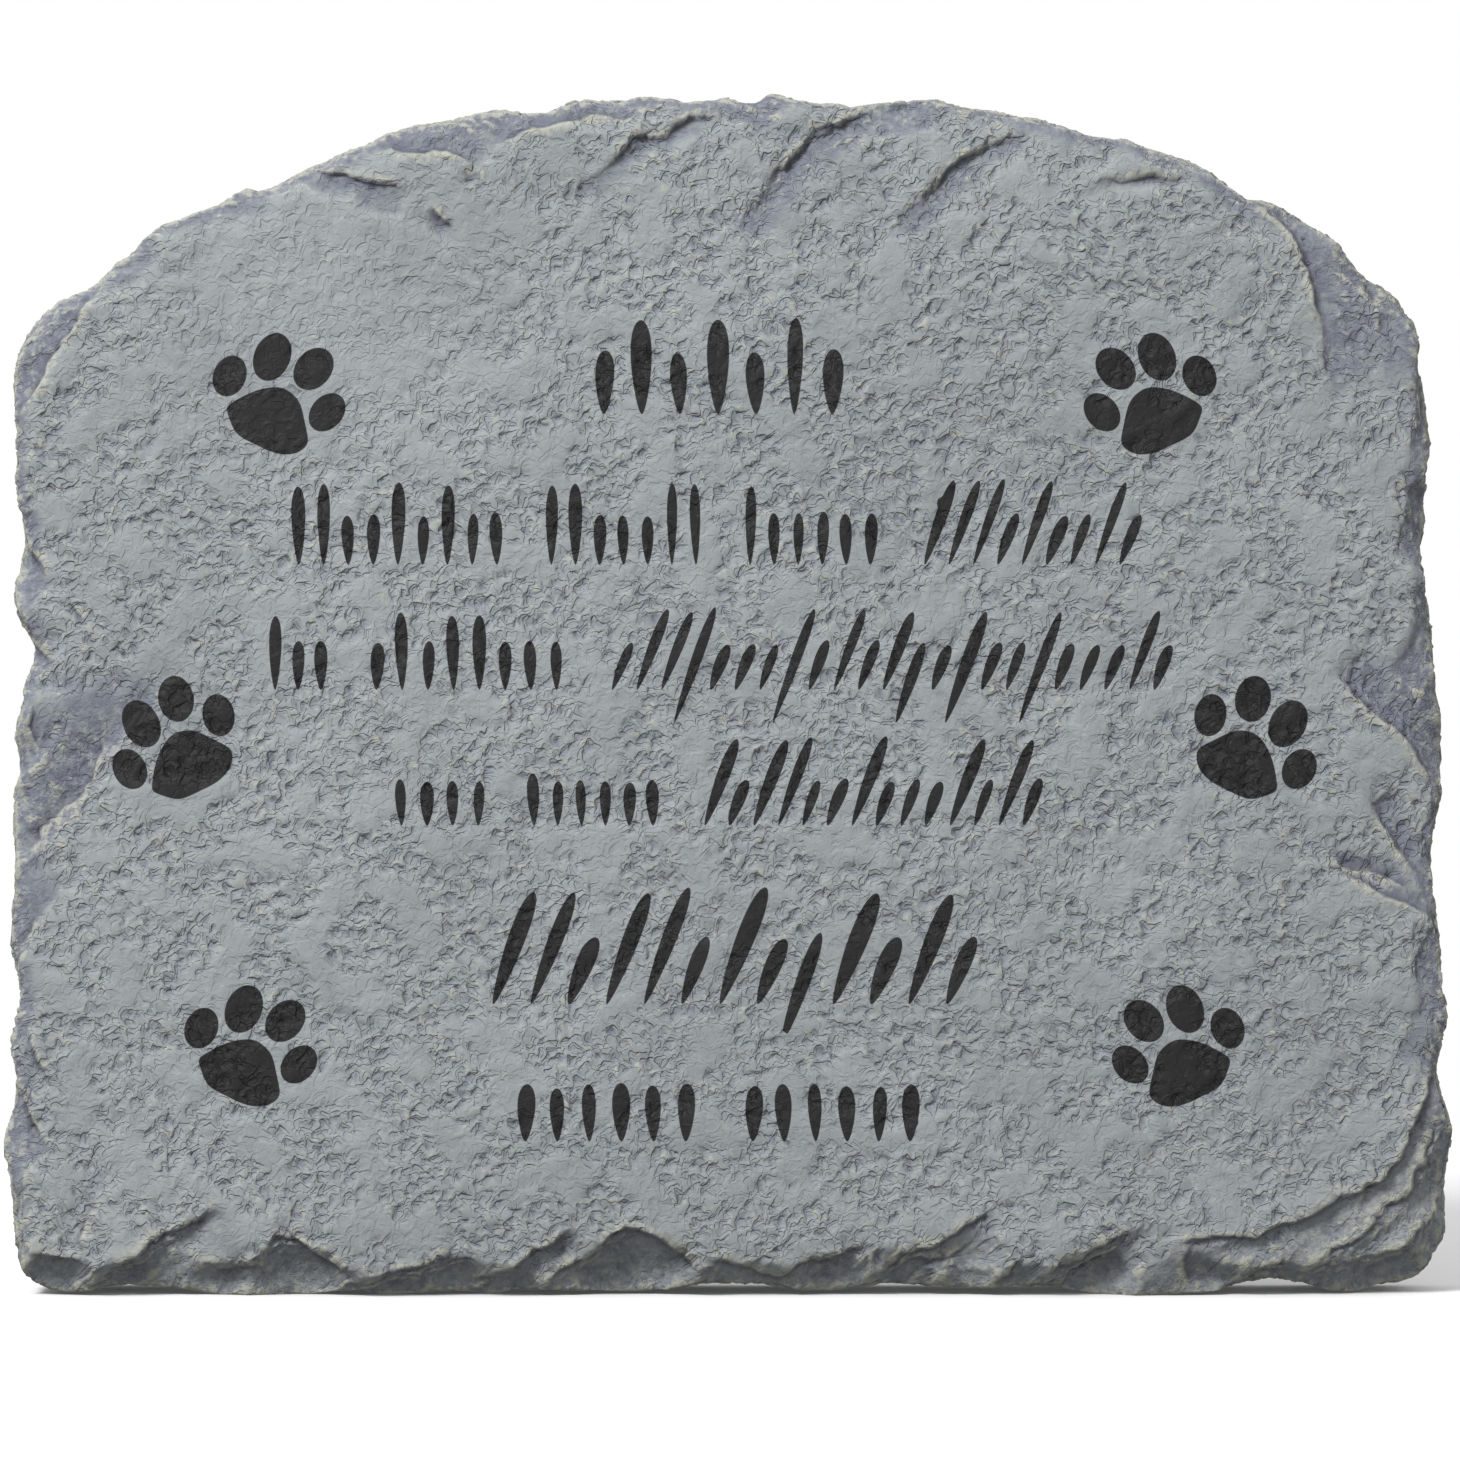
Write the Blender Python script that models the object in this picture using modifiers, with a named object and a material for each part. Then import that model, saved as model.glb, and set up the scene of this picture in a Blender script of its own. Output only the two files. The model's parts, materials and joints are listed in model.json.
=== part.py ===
"""A slate-look pet memorial stone, cast in one piece: a headstone-shaped slab that stands on its underside.

Run with: blender --background --python part.py

The stone stands on z = 0 with its origin below the middle of the slab. Its face looks along -Y and its
flat back along +Y. The outline, the clefts and the chips are written in millimetres of a stone about
305 mm wide and 251 mm high. They grow with WIDTH and HEIGHT, and their depths with THICKNESS.
"""

import math

import bpy
import numpy as np

# Driving sizes, in metres
WIDTH = 0.305
HEIGHT = 0.2525
THICKNESS = 0.032
RIM_LEFT = 0.015  # the least thickness that the carving leaves
BEVEL_WIDTH = 0.006  # worn edge round the face, measured inwards from the outline
BEVEL_DEPTH = 0.0045
BACK_ROUNDING = 0.0025  # the mould's soft edge round the back
FACE_WAVE = 0.0005  # slow rise and fall of the face
EDGE_LEDGE = 0.0010  # how far the split layers of the edge stand behind the outline
GRAIN = 0.0013  # spacing of the points that are carved
TRIM_ROOM = 0.02  # how far the trim block stands out round the stone
BACK_TRIM = 0.0001  # what the trim takes off the back to leave it flat
TRIANGLES = 8800  # what the finished stone is reduced to

# The outline, clockwise from the left foot, seen from the front
LEFT_EDGE = [
    (-138.5, 0.3), (-146, 2), (-149.7, 6.3), (-151.6, 17), (-152.4, 31), (-152, 36), (-150.3, 41),
    (-150.4, 47), (-151.7, 52.5), (-150.2, 57), (-149.6, 61), (-151.2, 71), (-150.7, 86), (-151.1, 99),
    (-150.2, 110), (-150.2, 119.5), (-148.4, 127), (-146.5, 132), (-146.4, 135.5), (-149.3, 141),
    (-150.3, 147),
    (-149.6, 156), (-149, 161.5), (-149.7, 166), (-149.8, 178), (-151.2, 186), (-151.1, 191.5),
    (-149, 199.5),
    (-147.5, 203.7), (-142.6, 207),
]
TOP_EDGE = [
    (-134.5, 211), (-130, 215.6), (-125.5, 218.8), (-121.5, 222.5), (-113, 226.6), (-105, 229.8),
    (-102, 231.3), (-97.5, 231), (-92, 234.4), (-80, 239.4), (-71.5, 243.6), (-58.5, 246.3), (-50, 248.5),
    (-44, 247.4), (-38, 247), (-35.5, 248.8), (-32, 249.8), (-21, 250.6), (-12.5, 250.3), (-8, 249.3),
    (-0.5, 250.9), (6.5, 249.3), (8, 250.8), (12, 250.5), (18, 249.1), (42, 249.8), (48.5, 249.2),
    (54, 248.4), (62, 247.2), (70, 245), (79, 241.7), (83.5, 241.6), (88.5, 240), (97, 237.5), (105, 232),
    (109, 229.6), (113, 229.3), (122, 224.7), (127, 221.3), (131, 216.8), (135, 212.3), (139.5, 209.4),
]
RIGHT_EDGE = [
    (143.3, 204.5), (145.2, 199), (144.4, 195.3), (147.3, 187), (147.9, 179), (146.5, 171), (147.7, 163.5),
    (146.2, 155), (146, 149), (148.4, 136.5), (148, 132.5), (149.4, 128), (150.3, 114), (150, 105),
    (148.8, 96), (148.3, 90), (149.6, 74), (151.1, 61), (150.3, 53), (149.2, 46.5), (151.4, 37.5),
    (152.5, 31), (151.3, 20), (151.8, 14.7), (149.8, 9), (145.5, 3.3),
]
FOOT_EDGE = [
    (138, 1.7), (131.5, 0.2), (125, 0.9), (119, 2.6), (110, 2.7), (103, 0.8), (97, 0.3), (90, 0),
    (76, 0), (67, 1.5), (58, 1.4), (50, 1.2), (34, 1.9), (29, 1.5), (19, 0.5), (8, 1.8), (-4, 2.2),
    (-13, 0.9), (-21, 0.4), (-33, 0.9), (-45, 0.8), (-50, 0.1), (-58, 0.7), (-72, 0), (-79, 0.9),
    (-88, 0), (-109, 0), (-115, 1), (-130, 1.5),
]
OUTLINE = LEFT_EDGE + TOP_EDGE + RIGHT_EDGE + FOOT_EDGE

# Metres for each written millimetre: across, up, and into the stone
OUTLINE_WIDTH = max(x for x, z in OUTLINE) - min(x for x, z in OUTLINE)
OUTLINE_HEIGHT = max(z for x, z in OUTLINE) - min(z for x, z in OUTLINE)
WRITTEN_THICKNESS = 32.0
ACROSS = WIDTH / OUTLINE_WIDTH
UP = HEIGHT / OUTLINE_HEIGHT
DEEP = THICKNESS / WRITTEN_THICKNESS

# Clefts: (drop, reach, points). The stone is lower on the left hand of the line, by the drop at the line,
# and climbs back to the face within the reach. NO_END is the reach of a split that runs out to the edge.
NO_END = 400.0
FOOT_CLEFTS = [
    (3.2, 24, [(-103, 20), (-108, 18), (-115, 13.5), (-122, 8.5), (-130, 4), (-136, 0)]),
    (2.2, 18, [(-53, 9.5), (-62, 5.5), (-70, 3.5), (-78, 1)]),
    (2.8, 20, [(-30, 14.5), (-36, 11.5), (-42, 7.5), (-48, 4.5), (-56, 0)]),
    (2.0, 16, [(-20, 14), (-24, 12.5), (-28, 8.5), (-34, 5), (-40, 1)]),
    (2.4, 16, [(58, 16.5), (54, 16), (52, 14), (46, 11.5), (40, 8.5), (35, 5), (28, 1.5)]),
    (2.0, 12, [(53, 13.5), (50, 9), (44, 6), (38, 4.5), (30, 1.5)]),
    (2.6, 16, [(88, 17.5), (84, 13), (80, 10.5), (77, 7.5), (72, 4.5), (64, 2)]),
    (1.6, 10, [(86, 11.5), (82, 9), (75, 4.5), (70, 2)]),
]
CORNER_CLEFTS = [
    (3.0, NO_END, [
        (149.5, 47), (146, 40), (143.5, 35), (141.5, 30), (137, 24.5), (131, 20.7), (127, 19.5),
        (123, 17), (117, 14.5), (110, 12.2), (103, 11), (96, 8), (94.5, 0),
    ]),
    (3.0, NO_END, [(152, 40), (149, 34), (146, 25), (141, 17.5), (137, 14), (132, 11), (127, 8.5),
    (119, 2)]),
    (2.6, NO_END, [(153, 23), (149.5, 18), (146, 13), (140, 9), (134, 6), (130, 0)]),
    (1.8, 9, [(128, 18.5), (122, 12), (116, 7.5), (108, 3)]),
]
LEFT_CLEFTS = [
    (3.2, NO_END, [
        (-150, 174), (-148, 183), (-145.5, 188), (-142, 193), (-139, 199), (-135, 205), (-132, 210),
        (-129, 216),
    ]),
    (3.0, 13, [(-140.5, 147.5), (-143, 151.5), (-146.5, 155), (-150, 161)]),
    (2.8, 10, [(-140.5, 132.5), (-145, 137.5), (-150, 142.5)]),
    (4.2, 20, [(-152, 89), (-147, 92), (-143, 95.5), (-138, 100), (-134, 106.5), (-131, 112.5),
    (-127, 117)]),
    (1.8, 8, [(-142.5, 112), (-146, 117), (-147, 122), (-145, 125.5), (-141, 126)]),
    (2.2, 12, [(-152, 66), (-147, 74), (-143, 80)]),
    (3.8, 16, [(-141, 29.5), (-145, 35.5), (-148, 41.5), (-151, 48)]),
    (2.6, NO_END, [(-148.5, 6), (-148, 18), (-147, 29)]),
    (1.6, 9, [(-133.5, 8.5), (-136, 12), (-134.5, 18), (-131, 22)]),
]
TOP_CLEFTS = [
    (1.4, 10, [(-109.5, 219.5), (-107.5, 224), (-105, 230)]),
    (2.8, NO_END, [(-100, 228.5), (-94, 229.5), (-88, 232), (-83, 236), (-79, 240)]),
    (2.6, NO_END, [(-82, 237), (-74, 238), (-66, 238.5), (-57, 238), (-52, 236.3), (-49, 234.5)]),
    (2.0, NO_END, [(-52, 238.5), (-46, 241.7), (-43, 243.6), (-34, 244.6), (-28, 243.7), (-22, 245.7),
    (-15, 249)]),
    (3.0, 6.5, [(-3, 248), (-13, 244), (-19, 241.5), (-24, 236.8), (-30, 232.5)]),
    (3.2, 7, [(44, 249.5), (31, 247.7), (24, 245.7), (19, 241.3), (14, 239.2), (10, 235), (7.5, 230),
    (5, 227)]),
    (1.5, 4.5, [(20, 243.2), (13, 243.8), (7, 245.6), (1, 247.2)]),
    (3.2, 7, [(64, 244.5), (58, 241.8), (52, 239.8), (47, 235.7), (42, 231.7), (38, 226)]),
    (2.4, 4.5, [(98, 234.2), (88, 234), (80, 233), (75.5, 230.5)]),
    (3.0, 15, [(104, 232.5), (110, 229), (115, 224.7), (119, 219.5), (122, 212.7), (124, 204),
    (124.5, 200)]),
    (1.8, 9, [(131, 217), (134, 210.7), (136.5, 204.7), (137, 198)]),
]
RIGHT_CLEFTS = [
    (3.4, NO_END, [(146.5, 197), (144.3, 189), (144, 182.5), (142.5, 177), (147, 172)]),
    (3.0, NO_END, [(146, 172), (143, 169.5), (142, 163.5), (140.5, 158.5), (140, 154), (146, 150)]),
    (2.8, NO_END, [(147, 151), (144.5, 144.5), (143, 138.5), (140.5, 133.5), (138, 130)]),
    (0.9, 5, [(137, 147), (136, 142), (135, 138)]),
    (3.4, 15, [(125, 131), (133, 125.5), (140, 119), (144, 114), (147, 108.5), (151, 102)]),
    (2.8, 13, [(133, 105), (135, 100), (138, 95.5), (140.5, 91), (145, 84)]),
    (2.6, 8, [(123, 93), (128, 89.7), (134, 87), (139, 83.7), (144, 80.7), (150, 76)]),
    (2.2, 9, [(147, 76), (144, 71.7), (143.2, 66.7), (144, 60.7), (141.5, 54)]),
]
CLEFTS = FOOT_CLEFTS + CORNER_CLEFTS + LEFT_CLEFTS + TOP_CLEFTS + RIGHT_CLEFTS

# Chips: (x, z, half length, half height, turn in degrees, depth). Each is a bowl struck off the edge.
FOOT_CHIPS = [
    (-143, 0, 13, 8.5, 0, 8), (-126, 0, 11, 7, 0, 7), (-108, 0, 13, 7, 0, 7), (-91, -1, 13, 12, -8, 9),
    (-69, -1, 12, 5.5, 0, 6), (-56, -1, 9, 9, 0, 7), (-45, -1, 8, 5.5, 0, 6), (-19, -1, 15, 14.5, -6, 9),
    (1, -1, 11, 7.5, 0, 7), (22, -1, 12, 9.5, 12, 8), (39, -1, 10, 6.5, 0, 6), (51, -1, 9, 7, 0, 5.5),
    (62, -1, 8, 7.5, 0, 6.5), (77, -1, 11, 11, 10, 8), (91, -1, 9, 6.5, 0, 6), (102, -1, 8, 9, 0, 6),
    (118, 0, 14, 7, 0, 6), (138, 0, 16, 9, 8, 7),
]
SIDE_CHIPS = [
    (-151, 163, 2.2, 5.5, 90, 5), (-152, 150, 9, 9, 90, 5), (-149, 135, 6, 7, 90, 4.5),
    (-153, 106, 12, 9, 90, 5), (-153, 77, 9, 7, 90, 4), (-153, 54, 8, 5, 90, 4), (-153, 35, 9, 6, 90, 4),
    (-152, 192, 12, 8, 80, 4.5), (-128, 219, 9, 5, 45, 4), (149, 186, 10, 5, 90, 5),
    (149, 165, 8, 6, 90, 5), (150, 145, 10, 6, 90, 5), (151, 118, 12, 7, 100, 5),
    (150, 92, 9, 6, 90, 5), (152, 68, 10, 6, 90, 4.5), (151, 48, 6, 6, 90, 5), (134, 214, 9, 5, -45, 4),
]
TOP_CHIPS = [
    (-117, 227, 8, 6, 25, 3.5), (-95, 235, 9, 5, 25, 3.5), (-84, 231.5, 8, 2.6, -18, 2.6),
    (-73, 228, 7, 3.2, -12, 3), (-61, 222.5, 6, 2.4, -38, 2), (-54, 234, 3.6, 1.5, 50, 1.6),
    (-67, 247, 14, 6, 12, 3.5), (-46, 250, 9, 5, -5, 3), (-25, 253, 12, 5, 3, 3), (-5, 253, 8, 5, 0, 3),
    (13, 252, 10, 4, -5, 3), (33, 253, 14, 4.5, 0, 3), (66, 248, 15, 5, -22, 4), (92, 241, 12, 5, -18, 3.5),
    (116, 230, 12, 6, -28, 4),
]
CHIPS = FOOT_CHIPS + SIDE_CHIPS + TOP_CHIPS


def clear_scene():
    for old in list(bpy.data.objects):
        bpy.data.objects.remove(old)


def new_collection(name):
    collection = bpy.data.collections.new(name)
    bpy.context.scene.collection.children.link(collection)
    return collection


def cast_stone_material():
    """Grey cast stone, matt."""
    material = bpy.data.materials.new("cast_stone")
    material.use_nodes = True
    shader = material.node_tree.nodes["Principled BSDF"]
    shader.inputs["Base Color"].default_value = (0.33, 0.35, 0.36, 1.0)
    shader.inputs["Roughness"].default_value = 0.75
    shader.inputs["Metallic"].default_value = 0.0
    material.diffuse_color = shader.inputs["Base Color"].default_value
    return material


def outline_points():
    return [(x * ACROSS, z * UP) for x, z in OUTLINE]


def slab(collection):
    """The uncarved slab: the outline as a smooth closed curve, filled and extruded to full thickness."""
    curve = bpy.data.curves.new("outline", "CURVE")
    curve.dimensions = "2D"
    curve.fill_mode = "BOTH"
    curve.extrude = THICKNESS / 2
    curve.resolution_u = 3
    points = outline_points()
    spline = curve.splines.new("BEZIER")
    spline.bezier_points.add(len(points) - 1)
    for knot, (x, z) in zip(spline.bezier_points, points):
        knot.co = (x, z, 0)
        knot.handle_left_type = "AUTO"
        knot.handle_right_type = "AUTO"
    spline.use_cyclic_u = True
    slab_object = bpy.data.objects.new("slab_curve", curve)
    slab_object.rotation_euler = (math.radians(90), 0, 0)
    collection.objects.link(slab_object)
    return slab_object


def evaluated_mesh(source, name):
    """The object as its modifiers leave it, as a new mesh in world space."""
    bpy.context.view_layer.update()
    shown = source.evaluated_get(bpy.context.evaluated_depsgraph_get())
    mesh = bpy.data.meshes.new_from_object(shown)
    mesh.transform(source.matrix_world)
    mesh.name = name
    return mesh


def fine_slab(collection):
    """The slab as an even net of points, close enough together to be carved."""
    curve_object = slab(collection)
    mesh = evaluated_mesh(curve_object, "slab")
    bpy.data.objects.remove(curve_object)
    block = bpy.data.objects.new("slab", mesh)
    collection.objects.link(block)
    remesh = block.modifiers.new("even_net", "REMESH")
    remesh.mode = "VOXEL"
    remesh.voxel_size = GRAIN
    fine = evaluated_mesh(block, "memorial_stone")
    bpy.data.objects.remove(block)
    return fine


def smooth_rise(value, low, high):
    share = np.clip((value - low) / (high - low), 0, 1)
    return share * share * (3 - 2 * share)


def to_line(x, z, points):
    """For each place: distance to the line, the side it is on (+1 is the left hand) and how far along."""
    best = np.full(len(x), np.inf)
    side = np.ones(len(x))
    along = np.zeros(len(x))
    run = 0.0
    for (ax, az), (bx, bz) in zip(points, points[1:]):
        dx, dz = bx - ax, bz - az
        length = math.hypot(dx, dz)
        share = np.clip(((x - ax) * dx + (z - az) * dz) / length**2, 0, 1)
        off_x, off_z = x - ax - share * dx, z - az - share * dz
        distance = np.hypot(off_x, off_z)
        nearer = distance < best
        best = np.where(nearer, distance, best)
        side = np.where(nearer, np.sign(dx * (z - az) - dz * (x - ax)), side)
        along = np.where(nearer, run + share * length, along)
        run += length
    return best, side, along / run


def cleft_depth(x, z, drop, reach, points):
    """A split in the face: a sharp step down on the left hand that climbs back within the reach."""
    distance, side, along = to_line(x, z, points)
    step = smooth_rise(distance * side, -0.3, 1.3)
    climb = np.clip(1 - distance / reach, 0, 1)
    ends = smooth_rise(along, 0, 0.18) * (1.0 if reach < NO_END else smooth_rise(1 - along, 0, 0.12))
    return drop * step * climb * ends


def chip_depth(x, z, chip_x, chip_z, half_length, half_height, turn, depth):
    """A flake struck off the edge: a bowl with a sharp rim."""
    angle = math.radians(turn)
    u = (x - chip_x) * math.cos(angle) + (z - chip_z) * math.sin(angle)
    v = (z - chip_z) * math.cos(angle) - (x - chip_x) * math.sin(angle)
    return depth * np.clip(1 - (u / half_length) ** 2 - (v / half_height) ** 2, 0, 1) ** 0.8


def bevel_depth(x, z, from_edge):
    """The worn edge, wider and narrower along its way."""
    vary = 1 + 0.35 * np.sin(x * 0.21 + z * 0.13) + 0.25 * np.sin(x * 0.09 - z * 0.27 + 1.0)
    width = BEVEL_WIDTH / ACROSS * vary
    return BEVEL_DEPTH * vary * np.clip(1 - from_edge / width, 0, 1) ** 1.4


def face_wave(x, z):
    return FACE_WAVE * (np.sin(x * 0.055 + z * 0.031) + np.sin(z * 0.083 - x * 0.027 + 2.0))


def carved_depth(x, z, from_edge):
    """How far the face lies behind its front plane, in metres, at places in written millimetres."""
    chips = bevel_depth(x, z, from_edge)
    for chip in CHIPS:
        chips = np.maximum(chips, chip_depth(x, z, *chip) * DEEP)
    clefts = sum(cleft_depth(x, z, *cleft) for cleft in CLEFTS) * DEEP
    wave = 2 * FACE_WAVE + face_wave(x, z)
    limit = THICKNESS - RIM_LEFT
    return limit * np.tanh((chips + clefts + wave) / limit)


def carve(mesh):
    """Moves the slab's points: the face back by the carving, and the edge in by its layers."""
    places = np.empty(len(mesh.vertices) * 3)
    mesh.vertices.foreach_get("co", places)
    places = places.reshape(-1, 3)
    x, y, z = places[:, 0] / ACROSS, places[:, 1], places[:, 2] / UP
    from_edge, _, _ = to_line(x, z, OUTLINE + OUTLINE[:1])
    back = THICKNESS / 2
    from_back = (back - y) / THICKNESS
    from_back = from_back * (1 - carved_depth(x, z, from_edge) / THICKNESS)
    places[:, 1] = back - from_back * THICKNESS

    middle_z = OUTLINE_HEIGHT / 2
    reach = np.hypot(x, z - middle_z)
    near_edge = np.clip(1 - from_edge * ACROSS / (2 * GRAIN), 0, 1)
    turn = np.arctan2(z - middle_z, x)
    ledge = EDGE_LEDGE * (0.5 - 0.5 * np.sin(from_back * 15 + 3 * np.sin(turn * 9) + 2 * np.sin(turn * 23)))
    rounding = BACK_ROUNDING * np.clip(1 - from_back * THICKNESS / BACK_ROUNDING, 0, 1) ** 2
    above_foot = smooth_rise(z, 2, 8)
    pull = near_edge * (ledge * above_foot + rounding) / reach
    places[:, 0] -= pull * x
    places[:, 2] -= pull * (z - middle_z)
    mesh.vertices.foreach_set("co", places.ravel())
    mesh.update()


def trim_block(collection):
    """A block larger than the stone, whose lower and back faces cut the underside and the back flat."""
    size = (WIDTH + 2 * TRIM_ROOM, THICKNESS + TRIM_ROOM, HEIGHT + TRIM_ROOM)
    bpy.ops.mesh.primitive_cube_add(
        size=1,
        location=(0, THICKNESS / 2 - BACK_TRIM - size[1] / 2, size[2] / 2),
    )
    block = bpy.context.object
    block.name = "trim_block"
    block.dimensions = size
    bpy.ops.object.transform_apply(location=False, rotation=False, scale=True)
    block.hide_render = True
    block.display_type = "WIRE"
    for owner in list(block.users_collection):
        owner.objects.unlink(block)
    collection.objects.link(block)
    return block


def memorial_stone(parts, cutters):
    """The finished casting: carved, reduced to its main faces and trimmed flat below and behind."""
    mesh = fine_slab(parts)
    carve(mesh)
    stone = bpy.data.objects.new("memorial_stone", mesh)
    parts.objects.link(stone)
    mesh.materials.append(cast_stone_material())
    mesh.shade_smooth()
    reduce_faces = stone.modifiers.new("main_faces", "DECIMATE")
    reduce_faces.ratio = TRIANGLES / (2 * len(mesh.polygons))
    trim = stone.modifiers.new("flat_foot_and_back", "BOOLEAN")
    trim.operation = "INTERSECT"
    trim.solver = "EXACT"
    trim.object = trim_block(cutters)
    return stone


def main():
    clear_scene()
    parts = new_collection("pet_memorial_stone")
    cutters = new_collection("cutters")
    memorial_stone(parts, cutters)


main()
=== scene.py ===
"""The looks of a slate-look pet memorial stone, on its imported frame.

The stone is one casting. Its fine surface is modelled here on the frame's solid: a hammered face with
small scallops, sharp splits and split layers round the edge, and a plainer back. The paw prints and the
rows of strokes on its face are flat black ink, so they are part of its material.
"""

import json
import math

import bpy
import numpy as np
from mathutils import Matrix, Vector

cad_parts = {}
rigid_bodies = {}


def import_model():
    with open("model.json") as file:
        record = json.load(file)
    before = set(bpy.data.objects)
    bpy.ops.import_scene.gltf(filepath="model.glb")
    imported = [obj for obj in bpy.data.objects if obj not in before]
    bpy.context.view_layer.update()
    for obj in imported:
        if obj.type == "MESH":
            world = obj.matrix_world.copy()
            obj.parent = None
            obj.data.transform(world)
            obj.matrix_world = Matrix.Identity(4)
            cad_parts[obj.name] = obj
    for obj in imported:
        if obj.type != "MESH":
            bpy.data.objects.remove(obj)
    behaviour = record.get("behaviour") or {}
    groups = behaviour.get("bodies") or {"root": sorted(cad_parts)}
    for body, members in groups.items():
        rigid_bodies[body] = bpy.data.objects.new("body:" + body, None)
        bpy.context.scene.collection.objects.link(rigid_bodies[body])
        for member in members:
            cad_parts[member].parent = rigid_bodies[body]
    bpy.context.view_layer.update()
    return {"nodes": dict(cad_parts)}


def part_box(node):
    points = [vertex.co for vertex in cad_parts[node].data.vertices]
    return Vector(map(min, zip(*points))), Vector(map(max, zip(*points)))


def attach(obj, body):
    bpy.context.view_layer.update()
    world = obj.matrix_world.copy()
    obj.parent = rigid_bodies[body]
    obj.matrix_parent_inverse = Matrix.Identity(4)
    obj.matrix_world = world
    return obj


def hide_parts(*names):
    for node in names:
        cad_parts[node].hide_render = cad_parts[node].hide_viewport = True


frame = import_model()
CAD_NODE = "memorial_stone"
NODE_LOW, NODE_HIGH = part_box(CAD_NODE)
FRONT_Y = NODE_LOW[1]
BACK_Y = NODE_HIGH[1]
MM = 0.001

bl_info = {
    "name": "Pet Memorial Stone",
    "version": (1, 0, 0),
    "blender": (4, 5, 0),
    "location": "3D View > Sidebar > Memorial",
    "description": "Finishes the cast stone and sets it on a plain studio floor",
    "category": "Object",
}

# Splits of the face, in millimetres: (drop, reach, points). The face is lower on the left hand of the
# line.
FOOT_SPLITS = [
    (1.4, 8, [(-134, 12), (-137, 9), (-140, 8), (-145, 9.5), (-150, 10.5)]),
    (0.9, 6, [(-134, 8.5), (-136, 12), (-134.5, 18), (-131, 22)]),
    (1.6, 9, [(-106, 20), (-112, 16), (-120, 12), (-128, 6), (-132, 3)]),
    (1.0, 6, [(-96, 7), (-104, 5.6), (-110, 4.5)]),
    (1.8, 10, [(-77, 4), (-80, 5), (-85, 8), (-90, 12), (-95, 12.5), (-100, 9)]),
    (1.2, 7, [(-55, 10.5), (-60, 8.5), (-65, 6), (-72, 5.5), (-77, 4)]),
    (1.6, 8, [(-31, 15.5), (-36, 13), (-40, 10), (-45, 7), (-50, 5), (-56, 2.5)]),
    (2.0, 12, [
        (-4, 4), (-7, 6), (-10, 9), (-15, 12.5), (-20, 15), (-25, 13), (-31, 8), (-35, 5.5), (-40, 2.5),
    ]),
    (1.2, 6, [(31, 12.5), (24, 9), (20, 7.3), (16, 7), (12, 5), (9, 4.3), (5, 5.5), (0, 7.5), (-8, 8)]),
    (1.6, 9, [(58, 17.5), (54, 17.5), (50, 15), (45, 13), (40, 10), (35, 8), (31, 5), (28, 3)]),
    (1.0, 5, [(53, 15), (51, 11.5), (47, 9), (37, 7), (30, 3.5)]),
    (0.9, 4, [(64, 7.5), (61, 7), (59, 4.5), (54, 2.6)]),
    (1.6, 8, [(85, 17), (83, 14), (79, 12.5), (75, 9), (70, 6.5), (64, 3.8)]),
    (1.0, 5, [(84, 12), (80, 9), (73, 6), (66, 4)]),
    (1.4, 8, [(96, 12), (95, 8), (95.5, 3)]),
]
CORNER_SPLITS = [
    (1.2, 30, [
        (150, 51), (147, 47), (146, 41), (144, 36), (142, 32), (140, 28), (137, 25), (133, 23), (128, 21),
        (125, 19), (120, 16.5), (115, 14.5), (110, 13), (105, 12.7), (91, 12),
    ]),
    (1.2, 14, [(149, 40), (147, 33), (146, 28), (142, 22), (137, 17), (133, 13), (128, 10), (121, 6.5)]),
    (1.0, 10, [(149, 18), (144, 12), (138, 9)]),
]
RIGHT_SPLITS = [
    (1.3, 9, [(126, 131), (135, 122), (141, 118), (145, 112), (149, 106)]),
    (1.2, 8, [(133, 106), (136, 100), (139, 96), (142, 91), (146, 86)]),
    (1.2, 5, [(124, 94), (130, 90), (137, 88), (145, 85)]),
    (1.4, 5, [(125, 91), (135, 85), (145, 81), (149, 78)]),
    (1.2, 7, [(108, 231), (118, 223), (121, 215.5), (123.5, 205), (125, 202)]),
    (0.8, 4, [(136, 206), (136.5, 200)]),
    (0.8, 4, [(132, 213), (135, 208)]),
]
TOP_SPLITS = [
    (0.9, 4, [(32, 249), (25, 247.5), (19, 244.5), (15, 240), (10, 236), (8, 231)]),
    (0.9, 4, [(60, 242), (55, 242), (50, 240), (45, 235), (38, 228)]),
    (0.8, 3, [(99, 234), (92, 235), (80, 234.5), (76, 233)]),
    (0.9, 4, [(0, 248), (-8, 247), (-13, 243.5), (-20, 243), (-22, 240), (-27, 235)]),
    (1.4, 5, [(-65, 231), (-70, 233.5), (-80, 235.5), (-89, 236)]),
    (1.2, 8, [(-76, 239), (-72, 239.8), (-60, 239.8), (-55, 238.5), (-50, 236)]),
    (0.8, 2.5, [(-52, 237), (-56, 233)]),
    (1.0, 8, [(-52, 241), (-45, 243.5), (-40, 245), (-30, 247), (-22, 247.5), (-17, 249.5)]),
    (1.2, 4, [(-57, 224), (-63, 229)]),
]
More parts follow.
